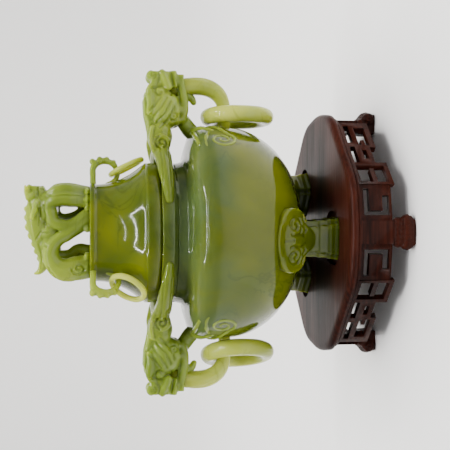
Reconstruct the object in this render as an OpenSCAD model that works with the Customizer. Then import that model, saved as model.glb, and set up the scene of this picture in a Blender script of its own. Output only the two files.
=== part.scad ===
// Lidded tripod censer of carved jade with ring handles, on a fretted hardwood stand.
// Millimetres, +Z up, origin on the floor under the middle of the stand, -Y is the front.

/* [Stand] */
// Height of the feet, from the floor to the underside of the corner panels
foot_h = 9.4; // [8:0.2:11]
// Height of the fretwork panels
panel_h = 15.6; // [14:0.2:18]
// Thickness of the top board
board_t = 5.5; // [5:0.1:7]
// Distance from the middle to the face of each corner post
post_reach = 58.5; // [57:0.5:60]
// Distance from the middle to the plane where a corner panel ends
turn_reach = 54.8; // [53:0.2:56]
// Half the width of a corner panel
turn_half = 22.3; // [20:0.5:24]
// Thickness of the panels
panel_t = 3; // [2.5:0.25:3.5]
// How far the top board stands out past the panels
board_over = 3.6; // [2.5:0.1:4.5]
// Width of a corner post and of its foot
post_w = 10.8; // [9:0.2:12]
// Depth of the three recesses that hold the legs
recess_d = 2.1; // [1.5:0.1:3]

/* [Bowl] */
// Largest radius of the bowl
bowl_r = 54; // [53:0.5:55]
// Height of the widest line of the bowl above the floor
belly_z = 82; // [81:0.5:83]
// Depth of the belly under its widest line
belly_h = 41.5; // [40:0.5:42]
// Rise of the shoulder over the widest line
shoulder_h = 19; // [18:0.5:19.5]
// Thickness of the stone wall
wall = 6; // [5:0.5:7]
// Radius of the mouth
mouth_r = 29; // [28:0.5:29.5]
// Radius of the collar around the mouth
collar_r = 36.3; // [36:0.1:36.6]
// Height of the top of the collar above the floor
collar_z = 113.7; // [113:0.1:114]

/* [Legs] */
// Distance from the middle to the axis of each leg
leg_r = 31; // [30:0.5:32]
// Directions of the front, back right and back left legs, in degrees
leg_az = [-95, 48, 134]; // [-180:1:180]
// Width of a foot of the censer where it stands
leg_w = 20; // [18:0.5:21]

/* [Lid] */
// Radius of the rim band of the lid
rim_r = 35.4; // [35:0.1:35.6]
// Height of the flange on top of the lid above the floor
lid_top_z = 147.5; // [147:0.5:148]
// Radius of that flange
flange_r = 24.9; // [24.5:0.1:25.5]
// Directions of the two lid loops, in degrees
loop_az = [2, 217]; // [0:1:360]

/* [Rings] */
// Radius of the middle line of a handle ring
ring_r = 14.8; // [14.5:0.1:15]
// Radius of the section of a handle ring
ring_t = 4.25; // [4:0.05:4.3]
// Radius of the middle line of a lid ring
small_r = 8.55; // [8.3:0.05:8.6]
// Radius of the section of a lid ring
small_t = 1.45; // [1.3:0.05:1.5]
// How far the left handle ring is turned about the vertical, in degrees
left_turn = 20; // [15:1:22]

/* [Hidden] */
$fn = 96;

CORNERS = ["front", "right", "back", "left"];
SIDES = ["front_right", "back_right", "back_left", "front_left"];
LEGS = ["front", "back_right", "back_left"];
HANDS = ["right", "left"];

JADE = [0.46, 0.55, 0.22];
JADE_PALE = [0.62, 0.70, 0.30];
JADE_DEEP = [0.36, 0.46, 0.24];
HARDWOOD = [0.27, 0.09, 0.06];

rest_gap = 0.1;                    // between two bodies that rest on each other
loose_gap = 0.3;                   // between two bodies that swing past each other
board_z = foot_h + panel_h;        // underside of the board
stand_z = board_z + board_t;       // top of the board
turn_az = atan(turn_half / turn_reach);
leg_z = stand_z - recess_d + rest_gap;
leg_top_z = 42.5;                  // where the foot of a leg meets its mask
leg_depth = 17;
shoulder_r = 38;                   // where the shoulder turns up into the neck
belly_p = 2.2;                     // fullness of the belly's curve
shoulder_p = 5;                    // fullness of the shoulder's curve
neck_z = belly_z + shoulder_h * 0.96;
// Side outline of the neck and collar, from the shoulder up
neck_side = [[shoulder_r, neck_z], [shoulder_r - 2, neck_z + 2], [shoulder_r - 2.8, neck_z + 4.4],
             [shoulder_r - 2.6, neck_z + 6.4], [collar_r, neck_z + 7.8], [collar_r, collar_z]];
rim_z = collar_z + rest_gap;
rim_h = 7.2;
spigot_r = mouth_r - 0.7;
lid_neck_r = 24.4;                 // narrowest radius of the lid
lid_neck_z = lid_top_z - 3.3;
tongue_t = 3.6;                    // radius of a tongue's section
tongue_z = 79;                     // height of the level stretch of a tongue
tongue_bend = 12;
tongue_x = 65;                     // where a tongue starts to curl up
ring_x = [59.6, 62.3];             // distances of the right and left rings from the middle
ring_z = tongue_z + tongue_t + loose_gap - (ring_r - ring_t);
loop_r = 30.2;                     // middle of a lid loop, from the middle of the lid
loop_z = 139.5;
loop_bend = 5.9;
loop_t = 1.45;
small_lean = 27;                   // how far a lid ring leans out from the vertical, in degrees
// Top of a lid ring's middle line, inside its loop: [distance from the middle, height]
small_top = [loop_r, loop_z] + (loop_bend - loop_t - small_t - loose_gap) * [-0.3, -0.954];

// Half of an outline that bulges from [radius, 0] at 0 degrees to [0, height] at 90 degrees
function bulge(radius, height, power, a) =
    [radius * pow(cos(a), 2 / power), height * pow(sin(a), 2 / power)];

// Side outline of the bowl between two angles; down = -1 is the belly, down = 1 the shoulder
function bowl_side(radius, height, power, down, angles) =
    [for (a = angles) let (p = bulge(radius, height, power, a)) [p[0], belly_z + down * p[1]]];

// Radius of the flared lid wall at a height, less an inset
function flare(z) =
    let (t = (z - rim_z - rim_h) / (lid_neck_z - rim_z - rim_h))
    lid_neck_r + (rim_r - 0.6 - lid_neck_r) * pow(1 - t, 2);

// Plan outline of the stand, grown outwards
module stand_plan(grow) {
    reach = turn_reach + grow;
    half = turn_half + grow * tan(22.5);
    offset(r = 7) offset(delta = -7)
    polygon([for (q = [0:3]) for (p = [[reach, -half], [post_reach + grow, 0], [reach, half]])
             [p[0] * cos(90 * q) - p[1] * sin(90 * q), p[0] * sin(90 * q) + p[1] * cos(90 * q)]]);
}

// Square with round corners, in plan
module round_rect(w, d, r) {
    square([w - 2 * r, d], center = true);
    square([w, d - 2 * r], center = true);
    for (x = [-1, 1], y = [-1, 1]) translate([x * (w / 2 - r), y * (d / 2 - r)]) circle(r);
}

// Stands a side outline, drawn as [distance out, height], on the XZ plane, width wide along Y
module upright(width) {
    rotate([90, 0, 0]) linear_extrude(width, center = true) children();
}

module stand_board() {
    color(HARDWOOD) difference() {
        union() {
            translate([0, 0, board_z]) linear_extrude(board_t) stand_plan(board_over - 1.6);
            translate([0, 0, board_z + 1.6]) linear_extrude(board_t - 2.8) stand_plan(board_over);
        }
        for (a = leg_az) rotate([0, 0, a])
            translate([leg_r, 0, stand_z - recess_d])
                linear_extrude(recess_d + 1) round_rect(leg_depth + 6, leg_w + 6, 4);
    }
}

// Half of a corner panel: a plank with a key fret cut through it, in [along, height]
module key_plank() {
    length = norm([turn_half, post_reach - turn_reach]);
    bar = 2.3;
    key_in = 8;
    key_out = 20.6;
    key_low = foot_h + 1;
    key_high = board_z - 2.2;
    difference() {
        translate([0, foot_h]) square([length + 2, panel_h]);
        translate([key_in, key_low]) square([bar, key_high - key_low]);
        translate([key_in, key_high - bar - 0.4]) square([key_out - key_in, bar + 0.4]);
        translate([key_in, key_low]) square([9.4, bar + 1.1]);
    }
}

// Corner panel on +X: two planks that meet in a shallow V behind a raised post
module corner_panel() {
    slope = atan((post_reach - turn_reach) / turn_half);
    far = 100;
    color(HARDWOOD) intersection() {
        union() {
            for (s = [0, 1]) mirror([0, s, 0]) translate([post_reach - 0.8, 0, 0]) rotate([0, 0, slope])
                rotate([90, 0, 90]) translate([0, 0, -panel_t]) linear_extrude(panel_t) key_plank();
            translate([post_reach - panel_t - 1.2, -post_w / 2, foot_h]) cube([panel_t + 1.2, post_w, panel_h]);
        }
        translate([0, 0, foot_h]) linear_extrude(panel_h)
            polygon([[0, 0], far * [cos(turn_az), -sin(turn_az)], far * [cos(turn_az), sin(turn_az)]]);
    }
}

// Openwork of a side panel, in [distance from the front turn, height]
module side_fret(length) {
    drop = foot_h - 1.8;               // underside of the box that hangs lowest
    stile = 1.8;
    box_w = 13.4;
    low_z = foot_h + 0.6;
    rail_z = 18;
    high_z = board_z - 1.8;
    difference() {
        union() {
            translate([0, drop]) square([box_w + 2.2, board_z - drop]);
            translate([box_w, 13]) square([length - box_w, board_z - 13]);
            translate([27, low_z]) square([length - 27, board_z - low_z]);
        }
        difference() {
            translate([stile, drop + 2]) square([box_w - stile, high_z - drop - 2]);
            translate([0, 15]) square([11.2, 2.2]);
        }
        translate([box_w + 2.2, rail_z + 2.6]) square([11.7, high_z - rail_z - 2.6]);
        translate([30.5, rail_z + 2.6]) square([length - 30.5 - 2.6, high_z - rail_z - 2.6]);
        translate([18.4, 15.2]) square([6.4, 2.2]);
        difference() {
            translate([28.6, low_z + 2.6]) square([length - 28.6 - 4, rail_z - low_z - 2.6]);
            translate([28, low_z + 4.8]) square([4.4, 1.8]);
        }
    }
}

// Side panel on +X; flip turns its fret end for end
module side_panel(flip) {
    reach = (turn_half + turn_reach) * sqrt(0.5);
    length = (turn_reach - turn_half) * sqrt(2);
    low = foot_h - 2;
    open = 45 - turn_az;
    far = 100;
    color(HARDWOOD) intersection() {
        mirror([0, flip, 0]) translate([reach - panel_t, -length / 2, 0])
            rotate([90, 0, 90]) linear_extrude(panel_t) side_fret(length);
        translate([0, 0, low]) linear_extrude(board_z - low)
            polygon([[0, 0], far * [cos(open), -sin(open)], far * [cos(open), sin(open)]]);
    }
}

// Foot on +X: a block under the post with a round toe
module stand_foot() {
    toe_r = 3.4;
    toe_x = 60;
    heel_x = post_reach - 7;
    color(HARDWOOD) upright(post_w + 1.8) {
        translate([toe_x, toe_r]) circle(toe_r);
        translate([heel_x, 0]) square([toe_x - heel_x, 2 * toe_r]);
        translate([heel_x, 0]) square([post_reach - heel_x, foot_h]);
    }
}

// The outside of the bowl and its collar as one solid of revolution, without its hollow
module bowl_body() {
    rotate_extrude() polygon(concat(
        bowl_side(bowl_r, belly_h, belly_p, -1, [90:-6:6]),
        [[bowl_r, belly_z]],
        bowl_side(bowl_r, shoulder_h, shoulder_p, 1, [6:6:60]),
        neck_side, [[0, collar_z]]));
}

module bowl() {
    inner_r = bowl_r - wall;
    ceiling_h = shoulder_h - wall + 0.5;
    color(JADE) difference() {
        bowl_body();
        rotate_extrude() polygon(concat(
            bowl_side(inner_r, belly_h - wall, belly_p, -1, [90:-6:6]),
            [[inner_r, belly_z]],
            bowl_side(inner_r, ceiling_h, shoulder_p, 1, [6:6:66]),
            [[mouth_r, belly_z + ceiling_h], [mouth_r, collar_z + 1], [0, collar_z + 1]]));
        translate([0, 0, neck_z]) cylinder(h = collar_z, r = bowl_r);
    }
}

module bowl_collar() {
    color(JADE) rotate_extrude() polygon(concat(neck_side, [[mouth_r, collar_z], [mouth_r, neck_z]]));
}

// Leg on +X: a lobed mask on the belly over a foot that widens downwards
module leg() {
    tilt = 27;
    mask_z = 52;
    mask_x = 45;
    mask_depth = 19;
    color(JADE) difference() {
        union() {
            hull() {
                translate([leg_r, 0, leg_z]) linear_extrude(0.5) round_rect(leg_depth, leg_w, 4);
                translate([leg_r, 0, leg_top_z]) linear_extrude(4) round_rect(leg_depth - 2, leg_w - 3, 4);
            }
            translate([mask_x, 0, mask_z]) rotate([0, 90 + tilt, 0]) translate([0, 0, -mask_depth]) {
                for (s = [-1, 1]) translate([-1.5, 7.4 * s, 0]) cylinder(h = mask_depth, r = 8.1);
                translate([2.6, 0, 0]) cylinder(h = mask_depth, r = 7.2);
            }
        }
        bowl_body();
    }
}

// Dragon's head on +X with its mane along the collar and its jaw rooted on the shoulder
module dragon_handle() {
    mane_az = 58;
    mane_r = 39.2;
    mane_t = 3.3;
    mane_z = 111;
    half_w = 3.6;
    color(JADE_PALE) difference() {
        union() {
            hull() for (s = [-1, 1]) {
                translate([60, s * half_w, 110.4]) sphere(8, $fn = 24);
                translate([67.5, s * half_w, 112.8]) sphere(8, $fn = 24);
            }
            hull() for (s = [-1, 1]) {
                translate([68, s * half_w, 110.5]) sphere(7, $fn = 24);
                translate([78.2, s * half_w, 115.6]) sphere(4.4, $fn = 24);
                translate([78.2, s * half_w, 105]) sphere(4.2, $fn = 24);
            }
            hull() {
                translate([58, 0, 112]) sphere(6.5, $fn = 24);
                translate([44, 0, 112]) sphere(4.4, $fn = 24);
            }
            hull() {
                translate([50, 0, 94]) sphere(3.4, $fn = 24);
                translate([60, 0, 104]) sphere(4, $fn = 24);
            }
            rotate([0, 0, -mane_az]) rotate_extrude(angle = 2 * mane_az)
                translate([mane_r, mane_z]) circle(mane_t);
            for (s = [-1, 1]) rotate([0, 0, s * mane_az]) translate([mane_r, 0, mane_z]) sphere(mane_t);
        }
        bowl_body();
    }
}

// Tongue on +X: level out of the bowl, through the ring, and curled up into the jaw
module tongue() {
    bend_z = tongue_z + tongue_bend;
    color(JADE_PALE) difference() {
        union() {
            translate([bowl_r - 6, 0, tongue_z]) rotate([0, 90, 0])
                cylinder(h = tongue_x - bowl_r + 6, r = tongue_t);
            translate([tongue_x, 0, bend_z]) rotate([90, 0, 0]) rotate([0, 0, -90])
                rotate_extrude(angle = 90) translate([tongue_bend, 0]) circle(tongue_t);
            translate([tongue_x + tongue_bend, 0, bend_z]) cylinder(h = 13, r = tongue_t);
        }
        bowl_body();
    }
}

module torus(radius, section) {
    rotate_extrude() translate([radius, 0]) circle(section);
}

// Handle ring that hangs on the tongue on +X, at a distance out and turned about the vertical
module handle_ring(out, turn) {
    color(JADE_PALE) translate([out, 0, ring_z]) rotate([0, 0, turn]) rotate([0, 90, 0]) torus(ring_r, ring_t);
}

// The outside of the lid as one solid of revolution, without its hollow
module lid_body() {
    flare_z = rim_z + rim_h;
    edge = 0.7;
    rotate_extrude() polygon(concat(
        [[0, rim_z], [rim_r - edge, rim_z], [rim_r, rim_z + edge], [rim_r, flare_z - edge]],
        [for (i = [0:8]) let (z = flare_z + (lid_neck_z - flare_z) * i / 8) [flare(z), z]],
        [[flange_r, lid_neck_z + edge], [flange_r, lid_top_z - edge], [flange_r - edge, lid_top_z],
         [0, lid_top_z]]));
}

module lid_shell() {
    spigot_h = 3;
    ceiling_z = 138;
    spigot_in = spigot_r - 4.3;
    color(JADE) difference() {
        union() {
            lid_body();
            translate([0, 0, rim_z - spigot_h]) cylinder(h = spigot_h + 1, r = spigot_r);
        }
        rotate_extrude() polygon([[0, rim_z - spigot_h - 1], [spigot_in, rim_z - spigot_h - 1],
                                  [spigot_in, rim_z + 5], [17, ceiling_z], [0, ceiling_z]]);
    }
}

// Loop on +X: a bar out of the flange and a round eye under it
module lid_loop() {
    bar_w = 5;
    bar_h = 3.1;
    color(JADE_PALE) difference() {
        union() {
            translate([flange_r - 4, -bar_w / 2, lid_top_z - bar_h - 0.2]) cube([loop_r - flange_r + 7, bar_w, bar_h]);
            translate([loop_r + 3, 0, lid_top_z - bar_h - 0.2]) cylinder(h = bar_h, r = bar_w / 2);
            translate([loop_r, 0, loop_z]) rotate([90, 0, 0]) torus(loop_bend, loop_t);
        }
        lid_body();
    }
}

// Lid ring that hangs in the loop on +X and leans out along the flared wall
module lid_ring() {
    color(JADE_PALE)
    translate([small_top[0] + small_r * sin(small_lean), 0, small_top[1] - small_r * cos(small_lean)])
        rotate([0, 90 - small_lean, 0]) torus(small_r, small_t);
}

// Coil of the finial: an arch that stands on the flange, in the XZ plane
module arch(x, y, z, bend, section) {
    leg_h = z - lid_top_z;
    translate([x, y, z]) rotate([90, 0, 0]) rotate_extrude(angle = 180) translate([bend, 0]) circle(section);
    for (s = [-1, 1]) translate([x + s * bend, y, lid_top_z]) cylinder(h = leg_h, r = section);
}

// Coiled dragon: two pairs of arches carry a body with its tail at -X and its head at +X
module finial_dragon() {
    color(JADE_PALE) {
        for (y = [-6, 6]) {
            arch(-8, y, 153.4, 10.9, 5);
            arch(12.3, y, 156.6, 7.3, 3.9);
        }
        hull() {
            translate([-19.3, 0, 173.2]) sphere(1.6, $fn = 24);
            translate([-9, 0, 167.5]) sphere(5, $fn = 24);
        }
        hull() {
            translate([-8, 0, 167.5]) sphere(6, $fn = 24);
            translate([11, 0, 171.2]) sphere(8.8, $fn = 24);
        }
        hull() {
            translate([11, 0, 171.5]) sphere(7.5, $fn = 24);
            translate([19, 0, 174.5]) sphere(4.6, $fn = 24);
            translate([19, 0, 170.5]) sphere(4.6, $fn = 24);
        }
    }
}

stand_board();
for (i = [0:3]) {
    rotate([0, 0, 90 * i - 90]) corner_panel();
    rotate([0, 0, 90 * i - 45]) side_panel(i % 2);
    rotate([0, 0, 90 * i - 90]) stand_foot();
}
bowl();
bowl_collar();
for (i = [0:2])
    rotate([0, 0, leg_az[i]]) leg();
for (i = [0, 1]) {
    mirror([i, 0, 0]) dragon_handle();
    mirror([i, 0, 0]) tongue();
    mirror([i, 0, 0]) handle_ring(ring_x[i], -left_turn * i);
    rotate([0, 0, loop_az[i]]) lid_loop();
    rotate([0, 0, loop_az[i]]) lid_ring();
}
lid_shell();
finial_dragon();
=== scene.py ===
"""Looks of a carved jade censer with loose rings on a fretted hardwood stand.

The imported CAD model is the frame. Each sub-assembly class here builds the finished pieces that stand for its
CAD nodes, in the same places, and dresses them in jade or varnished wood. Shapes are drawn in millimetres and
brought to metres when a piece is finished.
"""

import logging
import math
from dataclasses import dataclass
from enum import Enum
from typing import Iterable, Sequence

import bmesh
import bpy
from mathutils import Euler, Matrix, Vector, kdtree, noise
from mathutils.bvhtree import BVHTree


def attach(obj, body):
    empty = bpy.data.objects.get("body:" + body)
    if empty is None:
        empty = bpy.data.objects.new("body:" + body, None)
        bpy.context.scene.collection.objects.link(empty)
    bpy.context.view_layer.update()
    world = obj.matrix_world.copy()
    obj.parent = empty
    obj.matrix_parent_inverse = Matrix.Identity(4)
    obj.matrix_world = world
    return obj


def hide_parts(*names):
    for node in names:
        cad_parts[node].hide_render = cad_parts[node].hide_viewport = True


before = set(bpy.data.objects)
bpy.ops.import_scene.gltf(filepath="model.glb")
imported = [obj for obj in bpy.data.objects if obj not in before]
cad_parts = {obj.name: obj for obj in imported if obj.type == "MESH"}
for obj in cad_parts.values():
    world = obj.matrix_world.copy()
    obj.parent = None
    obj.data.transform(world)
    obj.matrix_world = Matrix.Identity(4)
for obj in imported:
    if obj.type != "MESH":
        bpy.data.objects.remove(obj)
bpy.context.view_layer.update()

MM = 0.001
LOG = logging.getLogger("censer")

Point = Sequence[float]


# ---------------------------------------------------------------- shader nodes


class Signal:
    """The output of a shader node, with Python's operators standing for Math nodes."""

    def __init__(self, tree: "Tree", socket: bpy.types.NodeSocket) -> None:
        """Wraps one output socket of a tree."""
        self.tree = tree
        self.socket = socket

    def math(self, operation: str, *others: "Signal | float", swap: bool = False) -> "Signal":
        """Adds one Math node.

        Args:
            operation: The Math node's operation.
            others: The other operands.
            swap: True puts this signal after the first other operand.

        Returns:
            The result as a signal.
        """
        values = [self, *others]
        if swap:
            values[0], values[1] = values[1], values[0]
        return self.tree.add("ShaderNodeMath", {"operation": operation}, dict(enumerate(values)))

    def __add__(self, other: "Signal | float") -> "Signal":
        """Sum."""
        return self.math("ADD", other)

    __radd__ = __add__

    def __sub__(self, other: "Signal | float") -> "Signal":
        """Difference."""
        return self.math("SUBTRACT", other)

    def __rsub__(self, other: float) -> "Signal":
        """Difference from a number."""
        return self.math("SUBTRACT", other, swap=True)

    def __mul__(self, other: "Signal | float") -> "Signal":
        """Product."""
        return self.math("MULTIPLY", other)

    __rmul__ = __mul__

    def smooth(self, low: float, high: float) -> "Signal":
        """Rises smoothly from 0 at low to 1 at high."""
        settings = {"interpolation_type": "SMOOTHSTEP"}
        return self.tree.add("ShaderNodeMapRange", settings, {"Value": self, "From Min": low, "From Max": high})


class Tree:
    """A material's node tree, built from Python expressions."""

    def __init__(self, name: str) -> None:
        """Starts a material with a Principled shader and object coordinates."""
        self.material = bpy.data.materials.new(name)
        self.material.use_nodes = True
        self.nodes = self.material.node_tree.nodes
        self.links = self.material.node_tree.links
        self.shader = next(n for n in self.nodes if n.type == "BSDF_PRINCIPLED")
        self.place = self.add("ShaderNodeTexCoord", {}, {}, out="Object")

    def add(self, kind: str, settings: dict, inputs: dict, out: "str | int" = 0) -> Signal:
        """Adds any node.

        Args:
            kind: The node's type.
            settings: The node's properties, set before its sockets. A ramp's stops go under "stops".
            inputs: Values or signals by socket name or number.
            out: The output wanted, by name or number.

        Returns:
            That output as a signal.
        """
        node = self.nodes.new(kind)
        for key, value in settings.items():
            if key == "stops":
                self.set_stops(node.color_ramp, value)
            else:
                setattr(node, key, value)
        for key, value in inputs.items():
            self.feed(node.inputs[key], value)
        return Signal(self, node.outputs[out])

    @staticmethod
    def set_stops(ramp: bpy.types.ColorRamp, stops: Sequence[tuple]) -> None:
        """Sets a colour ramp's (position, colour) stops."""
        while len(ramp.elements) < len(stops):
            ramp.elements.new(1.0)
        for element, (position, colour) in zip(ramp.elements, stops):
            element.position = position
            element.color = (*colour, 1.0)

    def feed(self, socket: bpy.types.NodeSocket, value: "Signal | float | Point") -> None:
        """Links a signal to a socket, or sets the socket's own value."""
        if isinstance(value, Signal):
            self.links.new(value.socket, socket)
        elif hasattr(value, "__len__") and socket.type == "RGBA":
            socket.default_value = (*value, 1.0)[:4]
        else:
            socket.default_value = value

    def noise(self, scale: float, detail: float = 3.0, distortion: float = 0.0, stretch: Point = (1, 1, 1),
              shift: Point = (0, 0, 0)) -> Signal:
        """Adds a noise pattern on the piece's own coordinates.

        Args:
            scale: Features per metre.
            detail: Octaves.
            distortion: Swirl.
            stretch: Scale along each axis.
            shift: Offset of the pattern.

        Returns:
            The noise value, about 0.5 in the middle.
        """
        mapped = self.add("ShaderNodeMapping", {}, {"Vector": self.place, "Scale": stretch, "Location": shift})
        return self.add("ShaderNodeTexNoise", {}, {"Vector": mapped, "Scale": scale, "Detail": detail,
                                                   "Distortion": distortion}, out="Fac")

    def mix(self, amount: "Signal | float", low: "Signal | Point", high: "Signal | Point",
            blend: str = "MIX") -> Signal:
        """Mixes two colours by an amount."""
        settings = {"data_type": "RGBA", "blend_type": blend}
        return self.add("ShaderNodeMix", settings, {0: amount, 6: low, 7: high}, out=2)

    def height(self) -> Signal:
        """The height above the floor, in metres."""
        return self.add("ShaderNodeSeparateXYZ", {}, {0: self.place}, out="Z")

    def set(self, **values: "Signal | float | Point") -> None:
        """Sets the shader's own sockets; underscores in a name stand for spaces."""
        for key, value in values.items():
            self.feed(self.shader.inputs[key.replace("_", " ")], value)

    def bump(self, height: Signal, distance: float, strength: float = 1.0) -> None:
        """Feeds a height into the shader's normal."""
        normal = self.add("ShaderNodeBump", {}, {"Height": height, "Distance": distance, "Strength": strength},
                          out="Normal")
        self.set(Normal=normal)


# ---------------------------------------------------------------- finishes


@dataclass(frozen=True)
class Jade:
    """Polished translucent stone with clouds and veins; painted reflection as a cooler tint over the shoulder, a
    painted pool of light on the front of the belly, and painted shade near the vertical axis.
    """

    name: str
    deep: tuple[float, float, float] = (0.030, 0.046, 0.001)
    body: tuple[float, float, float] = (0.062, 0.088, 0.0016)
    warm: tuple[float, float, float] = (0.135, 0.152, 0.003)
    cloud: tuple[float, float, float] = (0.088, 0.124, 0.016)
    # painted reflection: a cooler, bluer tint laid on the up-facing shoulder, between the two heights below
    shoulder_reflection: tuple[float, float, float] = (0.050, 0.088, 0.034)
    reflection_low: float = 0.088
    reflection_high: float = 0.104
    reflection_fade: float = 0.012
    reflection_share: float = 0.6
    # painted light: a lighter, warmer pool centred here on the front of the belly, fading out between the two
    # distances below
    painted_light_at: tuple[float, float, float] = (0.010, -0.050, 0.071)
    painted_light_reach: tuple[float, float] = (0.022, 0.046)
    painted_light_share: float = 0.55
    glow: float = 0.75
    glow_depth: float = 0.010
    roughness: float = 0.08
    # painted shade: a darker colour towards the vertical axis, where the handles lie against the bowl
    shade_near_axis: tuple[float, float, float] = (0.09, 0.125, 0.008)
    shade_near_axis_reach: tuple[float, float] = (0.038, 0.062)
    shade_near_axis_share: float = 0.0
    drift_scale: float = 22.0
    cloud_scale: float = 34.0
    cloud_share: float = 0.55
    vein_scale: float = 26.0
    vein_width: float = 0.035
    vein_share: float = 0.4
    grain_scale: float = 900.0
    relief: float = 0.0006

    def make(self) -> bpy.types.Material:
        """Builds the material.

        Returns:
            The finished material.
        """
        tree = Tree(self.name)
        drift = tree.noise(self.drift_scale, 2.0, 0.4, shift=(0.4, 0.1, 0.6))
        clouds = tree.noise(self.cloud_scale, 5.0, 1.1, shift=(0.31, 0.12, 0.05))
        base = tree.add("ShaderNodeValToRGB", {"stops": [(0.30, self.deep), (0.5, self.body), (0.68, self.warm)]},
                        {"Fac": drift}, out="Color")
        milk = tree.mix(clouds.smooth(0.52, 0.74) * self.cloud_share, base, self.cloud)
        streaks = tree.noise(self.vein_scale, 4.0, 1.8, stretch=(1.0, 1.0, 1.7), shift=(0.7, 0.2, 0.4))
        ridge = (streaks - 0.5).math("ABSOLUTE")
        vein = (1.0 - ridge.smooth(0.0, self.vein_width)) * clouds.smooth(0.42, 0.6)
        veined = tree.mix(vein * self.vein_share, milk, self.deep)
        height = tree.height()
        # painted reflection: the cooler tint over the shoulder's height band, broken up by noise
        reflection_band = height.smooth(self.reflection_low - self.reflection_fade, self.reflection_low) * (
            1.0 - height.smooth(self.reflection_high, self.reflection_high + self.reflection_fade))
        patch = (drift + clouds * 0.5).smooth(0.60, 0.86)
        # painted light: a warm pool of light on the belly's front, a little right of the middle
        reach = tree.add("ShaderNodeVectorMath", {"operation": "DISTANCE"}, {0: tree.place, 1: self.painted_light_at},
                         out="Value")
        far = (reach + clouds * 0.02).smooth(*self.painted_light_reach)
        lit = tree.mix((1.0 - far) * self.painted_light_share, veined, self.warm)
        # painted shade: darker towards the vertical axis, where the handle hugs the collar and shoulder
        flat = tree.add("ShaderNodeVectorMath", {"operation": "MULTIPLY"}, {0: tree.place, 1: (1.0, 1.0, 0.0)})
        radius = tree.add("ShaderNodeVectorMath", {"operation": "LENGTH"}, {0: flat}, out="Value")
        thick = tree.mix((1.0 - radius.smooth(*self.shade_near_axis_reach)) * self.shade_near_axis_share, lit, self.shade_near_axis)
        colour = tree.mix(reflection_band * patch * self.reflection_share, thick, self.shoulder_reflection)
        grain = tree.noise(self.grain_scale, 3.0)
        tree.set(Base_Color=colour, Roughness=clouds * 0.08 + self.roughness - 0.03, Subsurface_Weight=self.glow,
                 Subsurface_Radius=(1.0, 0.95, 0.35), Subsurface_Scale=self.glow_depth, IOR=1.5,
                 Coat_Weight=0.12, Coat_Roughness=0.04, Specular_IOR_Level=0.24)
        tree.bump(clouds * 0.6 + grain * 0.06, self.relief, 0.35)
        return tree.material


@dataclass(frozen=True)
class Hardwood:
    """Dark red-brown hardwood under a glossy varnish, with its grain along X."""

    name: str
    dark: tuple[float, float, float] = (0.009, 0.0026, 0.0018)
    red: tuple[float, float, float] = (0.048, 0.011, 0.006)
    figure_scale: float = 38.0
    fibre_scale: float = 700.0
    pore_scale: float = 1500.0
    pore_share: float = 0.6
    relief: float = 0.0002

    def make(self) -> bpy.types.Material:
        """Builds the material.

        Returns:
            The finished material.
        """
        tree = Tree(self.name)
        figure = tree.noise(self.figure_scale, 4.0, 0.6, stretch=(0.16, 1.0, 1.0))
        fibre = tree.noise(self.fibre_scale, 3.0, 0.0, stretch=(0.05, 1.0, 1.0))
        grain = (figure * 0.65 + fibre * 0.35).smooth(0.36, 0.66)
        pores = tree.noise(self.pore_scale, 2.0, 0.0, stretch=(0.04, 1.0, 1.0)).smooth(0.6, 0.72)
        colour = tree.mix(pores * self.pore_share, tree.mix(grain, self.dark, self.red), self.dark)
        tree.set(Base_Color=colour, Roughness=0.42 - grain * 0.10, Coat_Weight=0.04, Coat_Roughness=0.12, IOR=1.35,
                 Specular_IOR_Level=0.08)
        tree.bump(fibre * 0.4 - pores * 0.5, self.relief, 0.5)
        return tree.material


@dataclass(frozen=True)
class Paper:
    """Plain pale sweep under and behind the object."""

    name: str
    shade: tuple[float, float, float] = (0.95, 0.94, 0.925)

    def make(self) -> bpy.types.Material:
        """Builds the material."""
        tree = Tree(self.name)
        tree.set(Base_Color=self.shade, Roughness=0.85, Specular_IOR_Level=0.2)
        return tree.material


# ---------------------------------------------------------------- shaping

# Lengths in millimetres.
END_BALL = 0.98  # a bar's end ball, as a share of the bar's radius there
CAST_BACK = 60.0  # how far behind its drawn place a line is cast from
LINE_STEP = 0.4  # spacing of a line's casts, as a share of its width
WELD = 0.0005  # points closer than this become one
SPIRAL_CLOSE = 0.88  # share of its radius that a spiral loses on the way in


def linked(name: str, data: bpy.types.ID) -> bpy.types.Object:
    """Puts new data into the scene as an object."""
    holder = bpy.data.objects.new(name, data)
    bpy.context.scene.collection.objects.link(holder)
    return holder


def take_baked(bm: bmesh.types.BMesh, holder: bpy.types.Object) -> None:
    """Adds an object's mesh, with its modifiers applied, to a bmesh."""
    baked = bpy.data.meshes.new_from_object(holder.evaluated_get(bpy.context.evaluated_depsgraph_get()))
    bm.from_mesh(baked)
    bpy.data.meshes.remove(baked)


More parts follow.
